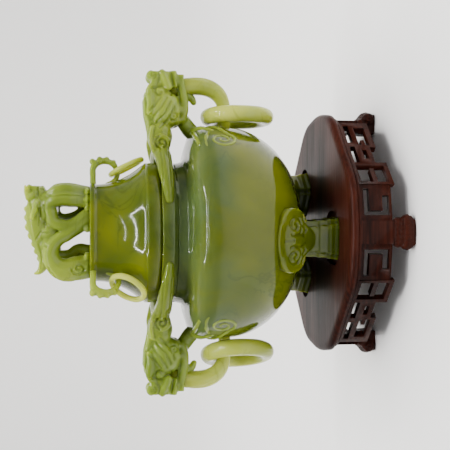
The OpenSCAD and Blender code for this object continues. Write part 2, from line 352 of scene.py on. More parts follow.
class Clay:
    """Stone built up from lumps and bars in millimetres, melted into one skin and then engraved."""

    def __init__(self) -> None:
        """Starts with nothing."""
        self.bm = bmesh.new()

    def ball(self, centre: Point, radii: "float | Point", turn: Point = (0, 0, 0)) -> None:
        """Adds an ellipsoid.

        Args:
            centre: Its middle.
            radii: One radius, or three along its own axes.
            turn: Its turn about X, Y and Z, in degrees.
        """
        size = Vector((radii,) * 3) if isinstance(radii, (int, float)) else Vector(radii)
        place = Matrix.LocRotScale(Vector(centre), Euler([math.radians(t) for t in turn]), size)
        bmesh.ops.create_icosphere(self.bm, subdivisions=3, radius=1.0, matrix=place)

    def block(self, centre: Point, size: Point) -> None:
        """Adds a box of the given size."""
        place = Matrix.LocRotScale(Vector(centre), None, Vector(size))
        bmesh.ops.create_cube(self.bm, size=1.0, matrix=place)

    def disc(self, centre: Point, radius: float, depth: float, facing: Point) -> None:
        """Adds a thick disc that faces along a direction."""
        turn = Vector(facing).to_track_quat("Z", "Y")
        place = Matrix.LocRotScale(Vector(centre), turn, None)
        bmesh.ops.create_cone(self.bm, cap_ends=True, segments=40, radius1=radius, radius2=radius, depth=depth,
                              matrix=place)

    def bar(self, points: Sequence[Point], radii: Sequence[float]) -> None:
        """Adds a smooth tapering bar through points.

        Args:
            points: Where its middle line passes.
            radii: Its radius at each point.
        """
        curve = bpy.data.curves.new("bar", "CURVE")
        curve.dimensions = "3D"
        curve.bevel_depth = 1.0
        curve.bevel_resolution = 3
        curve.use_fill_caps = True
        curve.resolution_u = 8
        spline = curve.splines.new("BEZIER")
        spline.bezier_points.add(len(points) - 1)
        for knot, point, radius in zip(spline.bezier_points, points, radii):
            knot.co = point
            knot.radius = radius
            knot.handle_left_type = knot.handle_right_type = "AUTO"
        holder = linked("bar", curve)
        take_baked(self.bm, holder)
        bpy.data.objects.remove(holder)
        bpy.data.curves.remove(curve)
        for end in (0, -1):
            self.ball(points[end], radii[end] * END_BALL)

    def strand(self, knots: Sequence[Sequence[float]], flip: bool = False) -> None:
        """Adds a bar from (x, y, z, radius) knots; flip turns it to the other side of the XZ plane."""
        side = -1 if flip else 1
        self.bar([(k[0], side * k[1], k[2]) for k in knots], [k[3] for k in knots])

    def melt(self, grain: float, passes: int = 4) -> None:
        """Melts everything into one closed skin.

        Args:
            grain: Size of the skin's cells.
            passes: Smoothing passes.
        """
        mesh = bpy.data.meshes.new("clay")
        self.bm.to_mesh(mesh)
        holder = linked("clay", mesh)
        remesh = holder.modifiers.new("skin", "REMESH")
        remesh.mode = "VOXEL"
        remesh.voxel_size = grain
        remesh.adaptivity = 0.0
        self.bm.clear()
        take_baked(self.bm, holder)
        bpy.data.objects.remove(holder)
        bpy.data.meshes.remove(mesh)
        for _ in range(passes):
            bmesh.ops.smooth_vert(self.bm, verts=self.bm.verts, factor=0.5, use_axis_x=True, use_axis_y=True,
                                  use_axis_z=True)
        self.bm.normal_update()

    def engrave(self, lines: Sequence[Sequence[Point]], width: float, depth: float,
                toward: "Point | None" = None) -> None:
        """Engraves lines into the skin.

        Args:
            lines: Each line's points, in order, outside the skin.
            width: Half of a line's width.
            depth: How deep it is cut.
            toward: The direction in which a line is cast on the skin; None casts it at the vertical axis.
        """
        skin = BVHTree.FromBMesh(self.bm)
        hits = []
        for line in lines:
            path = [Vector(p) for p in line]
            for start, end in zip(path, path[1:]):
                count = max(1, math.ceil((end - start).length / (width * LINE_STEP)))
                for i in range(count + 1):
                    spot = start.lerp(end, i / count)
                    aim = Vector(toward) if toward else Vector((-spot.x, -spot.y, 0)).normalized()
                    hit = skin.ray_cast(spot - aim * CAST_BACK, aim)[0]
                    if hit is not None:
                        hits.append(hit)
        if not hits:
            LOG.warning("a line was cast past the skin")
            return
        tree = kdtree.KDTree(len(hits))
        for index, hit in enumerate(hits):
            tree.insert(hit, index)
        tree.balance()
        moves = []
        for vert in self.bm.verts:
            distance = tree.find(vert.co)[2]
            if distance < width:
                share = (1 + math.cos(math.pi * distance / width)) / 2
                moves.append((vert, vert.normal * (-depth * share)))
        for vert, move in moves:
            vert.co += move
        self.bm.normal_update()

    def weather(self, amount: float, size: float) -> None:
        """Gives the skin the slight unevenness of hand work.

        Args:
            amount: Largest move.
            size: Width of a hollow or hump.
        """
        for vert in self.bm.verts:
            vert.co += vert.normal * (noise.noise(vert.co / size) * amount)
        self.bm.normal_update()

    def mirrored(self) -> "Clay":
        """A copy mirrored across the YZ plane."""
        other = Clay()
        other.bm = self.bm.copy()
        bmesh.ops.scale(other.bm, vec=(-1, 1, 1), verts=other.bm.verts)
        bmesh.ops.reverse_faces(other.bm, faces=other.bm.faces)
        return other

    def turned(self, degrees: float) -> "Clay":
        """A copy turned about the vertical axis."""
        other = Clay()
        other.bm = self.bm.copy()
        turn = Matrix.Rotation(math.radians(degrees), 3, "Z")
        bmesh.ops.rotate(other.bm, cent=(0, 0, 0), matrix=turn, verts=other.bm.verts)
        return other


def lathe(outline: Sequence[tuple[float, float]], steps: int = 180, closed: bool = False) -> Clay:
    """Turns a side outline about the vertical axis.

    Args:
        outline: Its (radius, height) points.
        steps: Number of steps round.
        closed: True joins its ends.

    Returns:
        The turned shape.
    """
    clay = Clay()
    verts = [clay.bm.verts.new((radius, 0, height)) for radius, height in outline]
    pairs = list(zip(verts, verts[1:])) + ([(verts[-1], verts[0])] if closed else [])
    edges = [clay.bm.edges.new(pair) for pair in pairs]
    bmesh.ops.spin(clay.bm, geom=verts + edges, cent=(0, 0, 0), axis=(0, 0, 1), angle=2 * math.pi, steps=steps,
                   use_merge=True)
    bmesh.ops.remove_doubles(clay.bm, verts=clay.bm.verts, dist=WELD)
    bmesh.ops.recalc_face_normals(clay.bm, faces=clay.bm.faces)
    return clay


def rounded(corners: Sequence[tuple[float, float, float]], steps: int = 4) -> list[tuple[float, float]]:
    """Rounds the corners of an open outline.

    Args:
        corners: (radius, height, length cut off on each side) of every corner.
        steps: Segments of a rounding.

    Returns:
        The outline's points.
    """
    points = []
    for index, (x, y, cut) in enumerate(corners):
        here = Vector((x, y))
        if cut == 0 or index in (0, len(corners) - 1):
            points.append((x, y))
            continue
        before = (Vector(corners[index - 1][:2]) - here).normalized() * cut + here
        after = (Vector(corners[index + 1][:2]) - here).normalized() * cut + here
        for i in range(steps + 1):
            t = i / steps
            spot = before.lerp(here, t).lerp(here.lerp(after, t), t)
            points.append((spot.x, spot.y))
    return points


def spiral(centre: Point, across: Point, up: Point, radius: float, turns: float, start: float = 0.0,
           steps: int = 40) -> list[Vector]:
    """Points along a flat spiral that winds in to its middle.

    Args:
        centre: The middle.
        across: Unit vector of angle 0.
        up: Unit vector of a quarter turn.
        radius: Outer radius.
        turns: Number of turns; negative winds the other way.
        start: Angle at the outer end, in degrees.
        steps: Number of steps.

    Returns:
        The points, from the outer end.
    """
    points = []
    for i in range(steps + 1):
        t = i / steps
        angle = math.radians(start) + 2 * math.pi * turns * t
        reach = radius * (1 - SPIRAL_CLOSE * t)
        points.append(Vector(centre) + reach * (math.cos(angle) * Vector(across) + math.sin(angle) * Vector(up)))
    return points


def finish_piece(clay: Clay, name: str, material: bpy.types.Material, body: str,
                 replaces: Iterable[str]) -> bpy.types.Object:
    """Makes a shaped skin a finished piece.

    Args:
        clay: The skin, in millimetres.
        name: The piece's name.
        material: Its finish.
        body: The body that it rides on.
        replaces: The CAD nodes that it stands for.

    Returns:
        The new object.
    """
    bmesh.ops.scale(clay.bm, vec=(MM, MM, MM), verts=clay.bm.verts)
    clay.bm.normal_update()
    mesh = bpy.data.meshes.new(name)
    clay.bm.to_mesh(mesh)
    clay.bm.free()
    mesh.shade_smooth()
    mesh.materials.append(material)
    piece = linked(name, mesh)
    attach(piece, body)
    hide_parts(*replaces)
    LOG.info("%s: %d faces on %s", name, len(mesh.polygons), body)
    return piece


# ---------------------------------------------------------------- sub-assemblies


class Hand(Enum):
    """The two sides of the censer."""

    RIGHT = "right"
    LEFT = "left"


@dataclass
class Finishes:
    """The materials that the pieces wear."""

    jade: bpy.types.Material
    # pale, ring and handle are lighter copies of the jade: painted glow of light through thin stone
    pale: bpy.types.Material
    ring: bpy.types.Material
    handle: bpy.types.Material
    wood: bpy.types.Material


@dataclass
class Bowl:
    """The round body with its shoulder, neck and collar."""

    widest: float = 54.0
    belly_z: float = 82.0
    belly_h: float = 41.5
    shoulder_h: float = 19.0
    wall: float = 6.0
    mouth: float = 29.0
    collar: float = 36.3
    collar_z: float = 113.7
    belly_power: float = 2.2
    shoulder_power: float = 5.0
    wear: tuple[float, float] = (0.16, 13.0)

    def curve(self, radius: float, height: float, power: float,
              degrees: Iterable[float]) -> list[tuple[float, float]]:
        """Points on a quarter of a superellipse above or below the bowl's widest level.

        Args:
            radius: Its reach from the axis.
            height: Its reach up, or down where it is negative.
            power: Its squareness.
            degrees: The points' angles from the widest level.

        Returns:
            The (radius, height) points.
        """
        share = 2 / power
        return [(radius * math.cos(a) ** share, self.belly_z + height * math.sin(a) ** share)
                for a in map(math.radians, degrees)]

    def outside(self) -> list[tuple[float, float]]:
        """The outer side outline, from the bottom to the top of the collar."""
        belly = self.curve(self.widest, -self.belly_h, self.belly_power, range(90, 0, -3))
        shoulder = self.curve(self.widest, self.shoulder_h, self.shoulder_power,
                              (0.02, 0.3, 1, 2, 4, 6, 9, 12, 16, 20, 25, 30, 36, 42, 48, 54, 60))
        base = self.belly_z + self.shoulder_h * 0.96
        neck = rounded([(38.0, base, 0), (36.2, base + 1.3, 0.8), (35.2, base + 4.4, 1.6), (35.4, base + 6.6, 0.7),
                        (self.collar, base + 7.8, 0.5), (self.collar, self.collar_z, 0.9),
                        (self.mouth, self.collar_z, 0.8), (self.mouth, self.collar_z - 4, 0)])
        return belly + shoulder + neck

    def skin(self, azimuth: float, height: float, lift: float = 0.0) -> Vector:
        """A point on the outside of the shoulder or belly.

        Args:
            azimuth: Direction from the axis, in degrees.
            height: Height above the floor.
            lift: Distance outwards.

        Returns:
            The point.
        """
        share = (height - self.belly_z) / (self.shoulder_h if height > self.belly_z else self.belly_h)
        power = self.shoulder_power if height > self.belly_z else self.belly_power
        radius = self.widest * max(0.0, 1 - min(1.0, abs(share)) ** power) ** (1 / power) + lift
        angle = math.radians(azimuth)
        return Vector((radius * math.cos(angle), radius * math.sin(angle), height + lift * 0.3))

    def build(self, finishes: Finishes) -> None:
        """Turns the bowl and dresses it."""
        inner = self.widest - self.wall
        rise = self.shoulder_h - self.wall + 0.5
        inside = self.curve(inner, rise, self.shoulder_power, (66, 48, 30, 16, 6, 1))
        inside += self.curve(inner, self.wall - self.belly_h, self.belly_power, range(0, 91, 9))
        inside[-1] = (0.0, inside[-1][1])
        outside = self.outside()
        outside[0] = (0.0, outside[0][1])
        clay = lathe(outside + inside)
        clay.weather(*self.wear)
        finish_piece(clay, "bowl_stone", finishes.jade, "censer", ["bowl", "bowl_collar"])


@dataclass
class Leg:
    """A cloud-shaped mask on the belly over a faceted foot; drawn on +X."""

    bowl: Bowl
    azimuths: tuple[float, ...] = (-95.0, 48.0, 134.0)
    names: tuple[str, ...] = ("front", "back_right", "back_left")
    tilt: float = 27.0
    mask_at: tuple[float, float, float] = (44.4, 0.0, 52.0)
    foot_z: float = 28.5
    foot_at: float = 31.2
    lobe_depth: float = 14.0
    chamfer: tuple[float, float] = (4.0, 5.0)
    wear: tuple[float, float] = (0.12, 7.0)

    def on_mask(self, across: float, down: float, out: float = 0.0) -> Vector:
        """A point on the mask's face.

        Args:
            across: Distance sideways.
            down: Distance down the face.
            out: Distance off the face.

        Returns:
            The point.
        """
        tilt = math.radians(self.tilt)
        facing = Vector((math.cos(tilt), 0, -math.sin(tilt)))
        lower = Vector((-math.sin(tilt), 0, -math.cos(tilt)))
        return Vector(self.mask_at) + lower * down + Vector((0, across, 0)) + facing * out

    def shape(self) -> Clay:
        """Carves one leg.

        Returns:
            The carved shape.
        """
        clay = Clay()
        facing = self.on_mask(0, 0, 1) - self.on_mask(0, 0)
        lobes = [(-7.6, -1.3, 7.9), (7.6, -1.3, 7.9), (0, -3.4, 6.6), (0, 1.4, 9.0), (0, 4.2, 7.0), (0, 7.0, 4.0)]
        for across, down, radius in lobes:
            clay.disc(self.on_mask(across, down, -self.lobe_depth / 2), radius, self.lobe_depth, facing)
        clay.ball(self.on_mask(0, 0, -1.2), (2.6, 11.5, 7.0), (0, self.tilt, 0))
        clay.strand([(*self.on_mask(-7, -9.2, -0.6), 0.9), (*self.on_mask(0, -10.2, -0.6), 1.0),
                     (*self.on_mask(7, -9.2, -0.6), 0.9)])
        for low, high, depth, width in ((28.5, 30.5, 17.4, 20.4), (30.0, 34.0, 16.6, 19.2), (33.5, 39.0, 15.8, 18.0),
                                        (38.5, 50.0, 15.4, 17.2)):
            middle = (self.foot_at, 0, (low + high) / 2)
            clay.block(middle, (depth, width - self.chamfer[1], high - low))
            clay.block(middle, (depth - self.chamfer[0], width, high - low))
        clay.melt(0.5, 5)
        toward = -facing
        curls = []
        for side in (-1, 1):
            across = Vector((0, side, 0))
            down = self.on_mask(0, 1) - self.on_mask(0, 0)
            curls.append(spiral(self.on_mask(side * 7.4, -0.8, 4), across, -down, 5.0, 1.6, 150))
            curls.append([self.on_mask(side * 3.1, 1.6, 4), self.on_mask(side * 2.4, 4.6, 4),
                          self.on_mask(side * 4.8, 6.2, 4), self.on_mask(side * 6.6, 4.4, 4)])
            curls.append([self.on_mask(side * 11.5, 4.6, 4), self.on_mask(side * 9.6, 4.4, 4),
                          self.on_mask(side * 8.4, 5.6, 4)])
        curls.append([self.on_mask(0, -6.5, 4), self.on_mask(0, -2.5, 4)])
        clay.engrave(curls, 1.0, 0.75, toward)
        for side in (-1, 1):
            clay.engrave([[(70, side * 6.0, 40), (70, side * 6.6, 29)]], 0.9, 0.35, (-1, 0, 0))
        clay.weather(*self.wear)
        for vert in clay.bm.verts:
            vert.co.z = max(vert.co.z, self.foot_z)
        return clay

    def build(self, finishes: Finishes) -> None:
        """Carves the three legs and dresses them."""
        clay = self.shape()
        for name, azimuth in zip(self.names, self.azimuths):
            finish_piece(clay.turned(azimuth), f"leg_{name}_stone", finishes.jade, "censer", [f"leg_{name}"])


@dataclass
class Dragon:
    """A dragon's head with its mane along the collar and its strap on the shoulder; drawn on +X."""

    bowl: Bowl
    scroll_az: float = 38.0
    scroll_z: float = 84.5
    scroll_r: float = 6.4
    scroll_turn: float = 650.0
    scroll_steps: int = 18
    beside: float = 14.0
    wear: tuple[float, float] = (0.2, 4.0)
    tongue_wear: tuple[float, float] = (0.12, 8.0)

    def head(self, clay: Clay) -> None:
        """Adds the head, muzzle, jaw and horns."""
        for s in (-1, 1):
            clay.ball((62.0, s * 3.2, 110.8), (10.4, 8.0, 9.3))
            clay.ball((67.5, s * 3.6, 115.0), (5.6, 5.6, 5.4))
            clay.ball((70.6, s * 7.0, 113.0), (3.0, 2.4, 3.0))
            clay.strand([(73.4, 6.4, 117.4, 1.5), (70.5, 7.6, 118.2, 2.1), (65.5, 8.4, 117.6, 1.9),
                         (60.0, 8.8, 118.4, 1.3)], s < 0)
            clay.strand([(67.0, 3.6, 118.9, 2.2), (60.0, 4.6, 118.6, 2.1), (53.0, 5.2, 117.4, 1.7),
                         (48.5, 6.2, 117.6, 1.0)], s < 0)
            clay.ball((79.2, s * 3.6, 116.9), (2.9, 3.3, 2.6))
            clay.strand([(73.2, 7.8, 108.4, 1.9), (77.5, 7.4, 110.4, 2.0), (80.8, 5.0, 111.4, 1.9)], s < 0)
            clay.strand([(57.5, 3.2, 101.4, 2.6), (64.0, 4.0, 100.4, 2.6), (71.0, 3.8, 101.2, 2.6),
                         (77.0, 3.2, 102.4, 2.4)], s < 0)
            clay.strand([(56.5, 4.5, 104.5, 2.6), (59.0, 7.2, 105.8, 2.8), (62.5, 5.6, 103.8, 2.4)], s < 0)
        clay.block((77.2, 0, 110.6), (8.2, 14.6, 13.0))
        clay.block((80.0, 0, 106.0), (3.6, 12.4, 3.4))
        clay.block((77.0, 0, 102.6), (6.2, 11.4, 4.2))
        clay.ball((70.0, 0, 99.6), (3.2, 3.0, 2.8))
        clay.strand([(70.5, 0, 98.4, 2.3), (68.6, 0, 95.8, 2.0), (66.8, 0, 94.8, 1.7)])

    def mane(self, clay: Clay) -> None:
        """Adds the mane and the two strands along the collar."""
        for s in (-1, 1):
            clay.ball((48.6, s * 5.0, 112.2), (7.4, 7.2, 5.9))
            clay.disc((44.6, s * 11.4, 112.3), 4.6, 3.4, (0, s, 0.15))
            knots = [(43.0, 4, 112.4, 4.2), (41.4, 16, 112.2, 4.4), (39.9, 28, 111.8, 4.1), (38.6, 40, 111.3, 3.7),
                     (37.6, 50, 110.8, 3.2), (36.9, 58, 110.4, 2.7), (36.2, 65, 110.2, 2.1)]
            clay.strand([(r * math.cos(math.radians(a)), r * math.sin(math.radians(a)), z, t)
                         for r, a, z, t in knots], s < 0)
            clay.strand([(52.0, 9.0, 116.4, 1.7), (46.0, 11.4, 117.0, 1.6), (40.5, 13.5, 116.0, 1.5),
                         (36.8, 18.5, 114.6, 1.2)], s < 0)

    def strap(self, clay: Clay) -> None:
        """Adds the strut under the head and its straps that end in scrolls on the shoulder."""
        clay.strand([(61.0, 0, 104.0, 4.6), (56.0, 0, 99.6, 3.9), (51.6, 0, 96.0, 4.2), (49.6, 0, 91.0, 3.4)])
        for s in (-1, 1):
            def run(stops: Sequence[Sequence[float]]) -> list[Sequence[float]]:
                """Knots on the bowl's outside from (azimuth, height, lift, radius) stops."""
                return [(*self.bowl.skin(s * a, z, lift), r) for a, z, lift, r in stops]

            clay.strand(run([(0, 96.0, -1.6, 3.2), (7, 94.6, -1.2, 2.8), (14, 91.8, -1.2, 2.3),
                             (21, 88.5, -1.2, 1.9)]))
            clay.strand(run([(0, 95.0, -2.2, 1.8), (13, 96.2, -1.1, 1.6), (25, 96.0, -1.0, 1.5),
                             (35, 95.5, -1.0, 1.4)]))
            around = 180 / math.pi / self.bowl.widest
            knots = [(*self.bowl.skin(s * 1, 92.0, -1.8), 1.8), (*self.bowl.skin(s * 11, 86.5, -0.6), 1.5)]
            for i in range(self.scroll_steps + 1):
                t = i / self.scroll_steps
                angle = math.radians(215 + self.scroll_turn * t)
                reach = self.scroll_r * (1 - 0.86 * t)
                knots.append((*self.bowl.skin(s * (self.scroll_az - 4 + reach * math.cos(angle) * around),
                                              self.scroll_z + reach * math.sin(angle), -0.25), 1.05 - 0.3 * t))
            clay.strand(knots)
            clay.strand(run([(24, 90.5, -1.1, 1.5), (31, 92.2, -1.1, 1.6), (39, 92.6, -1.1, 1.4),
                             (46, 90.6, -1.0, 1.0)]))

    def carve(self, clay: Clay) -> None:
        """Engraves the features of the head and the mane."""
        for s in (-1, 1):
            toward = (0, -s, 0)

            def side(*spots: tuple[float, float]) -> list[Point]:
                """A line drawn on the side view, beside the head."""
                return [(x, s * self.beside, z) for x, z in spots]

            clay.engrave([side((83, 107.6), (78, 106.7), (72.5, 105.6), (69.5, 107.4))], 1.3, 1.5, toward)
            clay.engrave([side((73.0, 120.5), (72.8, 116.0), (73.4, 112.0))], 1.3, 1.0, toward)
            clay.engrave([
                side((81.5, 113.6), (77.5, 113.0), (74.0, 114.4)),
                spiral((79.3, s * self.beside, 116.4), (1, 0, 0), (0, 0, 1), 1.9, 1.2, 200),
                spiral((70.4, s * self.beside, 113.0), (1, 0, 0), (0, 0, 1), 2.9, 0.9, 0, 20)[:17],
                side((67.5, 109.6), (62, 112.6), (56.5, 117.2)), side((65.5, 107.6), (59.5, 110.2), (54, 115.6)),
                side((63.0, 105.6), (57.5, 107.6), (52.5, 113.0)), side((67.5, 112.6), (63.5, 115.6), (59.5, 119.6)),
                side((50.8, 106.6), (46.5, 107.4), (42.5, 108.6)), side((52.5, 115.6), (48.0, 116.4), (43.5, 116.8)),
                side((55.5, 103.0), (62.5, 102.2), (70.0, 102.9), (76.5, 104.2)),
                spiral((58.2, s * self.beside, 105.6), (1, 0, 0), (0, 0, 1), 2.6, 1.2, 90),
            ], 0.95, 0.8, toward)
            clay.engrave([spiral((44.6, s * 16, 112.4), (1, 0, 0), (0, 0, 1), 3.5, 1.5, 20)], 1.0, 1.2, toward)
            clay.engrave([[(x, s * y, 125.0) for x, y in ((70, 1.2), (60, 1.6), (50, 2.2))],
                          [(x, s * y, 125.0) for x, y in ((70.5, 5.2), (61, 6.8), (51, 8.2))]], 0.9, 0.7, (0, 0, -1))
            for height in (109.4, 113.6):
                line = [(60 * math.cos(math.radians(a)), s * 60 * math.sin(math.radians(a)), height - 0.01 * a)
                        for a in range(20, 58, 4)]
                clay.engrave([line], 0.8, 0.5)

    def shape(self) -> Clay:
        """Carves the right handle.

        Returns:
            The carved shape.
        """
        clay = Clay()
        self.head(clay)
        self.mane(clay)
        self.strap(clay)
        clay.melt(0.5, 3)
        self.carve(clay)
        clay.weather(*self.wear)
        return clay

    def tongue(self) -> Clay:
        """Shapes the right tongue.

        Returns:
            The shape.
        """
        clay = Clay()
        clay.strand([(49.0, 0, 79.2, 3.3), (60.0, 0, 79.1, 3.35), (65.2, 0, 79.4, 3.6), (69.8, 0, 81.2, 4.1),
                     (73.2, 0, 84.9, 4.5), (74.9, 0, 89.6, 4.7), (75.2, 0, 94.6, 4.7), (74.6, 0, 99.5, 4.6),
                     (73.5, 0, 103.5, 4.2)])
        clay.melt(0.6, 4)
        clay.engrave([[(x, -self.beside, z) for x, z in ((79.5, 99.0), (78.6, 90.0), (75.5, 84.0))]], 1.0, 0.35,
                     (0, 1, 0))
        clay.weather(*self.tongue_wear)
        return clay

    def build(self, finishes: Finishes) -> None:
        """Carves both handles and tongues and dresses them."""
        head, tongue = self.shape(), self.tongue()
        for hand in Hand:
            for clay, part in ((head, "dragon_handle"), (tongue, "tongue")):
                copy = clay.turned(0) if hand is Hand.RIGHT else clay.mirrored()
                node = f"{part}_{hand.value}"
                finish = finishes.ring if clay is tongue else finishes.handle
                finish_piece(copy, f"{node}_stone", finish, "censer", [node])


@dataclass
class Rings:
    """The loose rings, cut free from the stone."""

    hang_z: float = 72.35
    ring_r: float = 14.8
    ring_t: float = 4.2
    out: tuple[float, float] = (59.6, 62.3)
    turn: tuple[float, float] = (0.0, 20.0)
    small_r: float = 8.55
    small_t: float = 1.42
    small_lean: float = 27.0
    small_top: tuple[float, float] = (29.39, 136.924)
    loop_az: tuple[float, float] = (2.0, 217.0)
    squareness: float = 0.95
    wear: tuple[float, float] = (0.10, 7.0)
    small_wear: tuple[float, float] = (0.10, 4.0)

    def torus(self, radius: float, section: float, steps: int, around: int) -> Clay:
        """Turns a slightly squared ring about the vertical axis."""
        points = []
        for i in range(around):
            angle = 2 * math.pi * i / around
            c, s = math.cos(angle), math.sin(angle)
            points.append((radius + section * math.copysign(abs(c) ** self.squareness, c),
                           section * math.copysign(abs(s) ** self.squareness, s)))
        return lathe(points, steps, closed=True)

    @staticmethod
    def hang(clay: Clay, turn: Matrix, place: Point) -> None:
        """Turns a ring about its middle and moves it into place."""
        bmesh.ops.transform(clay.bm, matrix=Matrix.Translation(Vector(place)) @ turn, verts=clay.bm.verts)

    def build(self, finishes: Finishes) -> None:
        """Makes the four rings and dresses them."""
        for index, hand in enumerate(Hand):
            side = 1 if hand is Hand.RIGHT else -1
            clay = self.torus(self.ring_r, self.ring_t, 120, 28)
            clay.weather(self.wear[0], self.wear[1] + index)
            turn = Matrix.Rotation(math.radians(self.turn[index]), 4, "Z") @ Matrix.Rotation(math.pi / 2, 4, "Y")
            self.hang(clay, turn, (side * self.out[index], 0, self.hang_z))
            finish_piece(clay, f"ring_{hand.value}_stone", finishes.ring, f"handle_ring_{hand.value}",
                         [f"ring_{hand.value}"])
            small = self.torus(self.small_r, self.small_t, 96, 20)
            small.weather(self.small_wear[0], self.small_wear[1] + index)
            lean = math.radians(self.small_lean)
            out = self.small_top[0] + self.small_r * math.sin(lean)
            turn = Matrix.Rotation(math.pi / 2 - lean, 4, "Y")
            self.hang(small, turn, (out, 0, self.small_top[1] - self.small_r * math.cos(lean)))
            finish_piece(small.turned(self.loop_az[index]), f"lid_ring_{hand.value}_stone", finishes.ring,
                         f"loop_ring_{hand.value}", [f"lid_ring_{hand.value}"])


@dataclass
class Lid:
    """The flared lid with its two loops; the coiled dragon on top is made by Finial."""

    rim: float = 35.4
    rim_z: float = 113.8
    rim_h: float = 7.2
    neck: float = 24.4
    neck_z: float = 144.2
    top: float = 24.9
    top_z: float = 147.5
    spigot: float = 28.3
    bore: float = 24.0
    ceiling_z: float = 138.0
    ceiling_r: float = 17.0
    flare_steps: int = 24
    loop_az: tuple[float, float] = (2.0, 217.0)
    wear: tuple[float, float] = (0.16, 10.0)
    loop_wear: tuple[float, float] = (0.10, 3.0)

    def shell(self) -> Clay:
        """Turns the hollow lid.

        Returns:
            The turned shape.
        """
        flare_z = self.rim_z + self.rim_h
        flare = []
        for i in range(1, self.flare_steps):
            t = i / self.flare_steps
            flare.append((self.neck + (self.rim - 0.6 - self.neck) * (1 - t) ** 2,
                          flare_z + (self.neck_z - flare_z) * t, 0))
        corners = [(0, self.ceiling_z, 0), (self.ceiling_r, self.ceiling_z, 1.5),
                   (self.bore, self.rim_z + 5, 0.8), (self.bore, self.rim_z - 3, 0.5),
                   (self.spigot, self.rim_z - 3, 0.5), (self.spigot, self.rim_z, 0), (34.4, self.rim_z, 0),
                   (self.rim, self.rim_z + 1.0, 0.9), (self.rim, flare_z - 0.7, 0.8),
                   (self.rim - 0.9, flare_z, 0.25)] + flare
        corners += [(self.neck, self.neck_z, 0.3), (self.top, self.neck_z + 0.8, 0.5), (self.top, self.top_z, 0.9),
                    (14, self.top_z, 0), (0, self.top_z, 0)]
        clay = lathe(rounded(corners))
        clay.weather(*self.wear)
        return clay

    def loop(self) -> Clay:
        """Carves one loop, on +X.

        Returns:
            The carved shape.
        """
        clay = Clay()
        for y in (-1.3, 1.3):
            clay.strand([(21.5, y, 145.7, 1.6), (28.0, y, 145.9, 1.6), (33.6, y, 145.4, 1.7),
                         (36.0, y * 0.8, 142.0, 1.7), (35.9, y * 0.6, 138.2, 1.5), (34.0, y * 0.4, 135.0, 1.45)])
        clay.strand([(34.6, 0, 135.8, 1.4), (31.6, 0, 133.9, 1.35), (28.4, 0, 133.9, 1.35), (25.6, 0, 135.9, 1.5),
                     (24.0, 0, 138.6, 1.6)])
        for x, z, r in ((35.9, 146.2, 1.6), (37.2, 142.6, 1.5), (37.2, 139.0, 1.4), (35.8, 135.6, 1.2)):
            clay.ball((x, 0, z), (r, 2.3, r))
        clay.melt(0.33, 3)
        clay.engrave([[(x, -5, z) for x, z in ((36.8, 144.4), (34.6, 143.0))],
                      [(x, -5, z) for x, z in ((37.4, 140.8), (35.0, 140.2))]], 0.7, 0.4, (0, 1, 0))
        clay.weather(*self.loop_wear)
        return clay

    def build(self, finishes: Finishes) -> None:
        """Makes the lid and its loops and dresses them."""
        finish_piece(self.shell(), "lid_stone", finishes.jade, "lid", ["lid_shell"])
        loop = self.loop()
        for hand, azimuth in zip(Hand, self.loop_az):
            finish_piece(loop.turned(azimuth), f"lid_loop_{hand.value}_stone", finishes.pale, "lid",
                         [f"lid_loop_{hand.value}"])


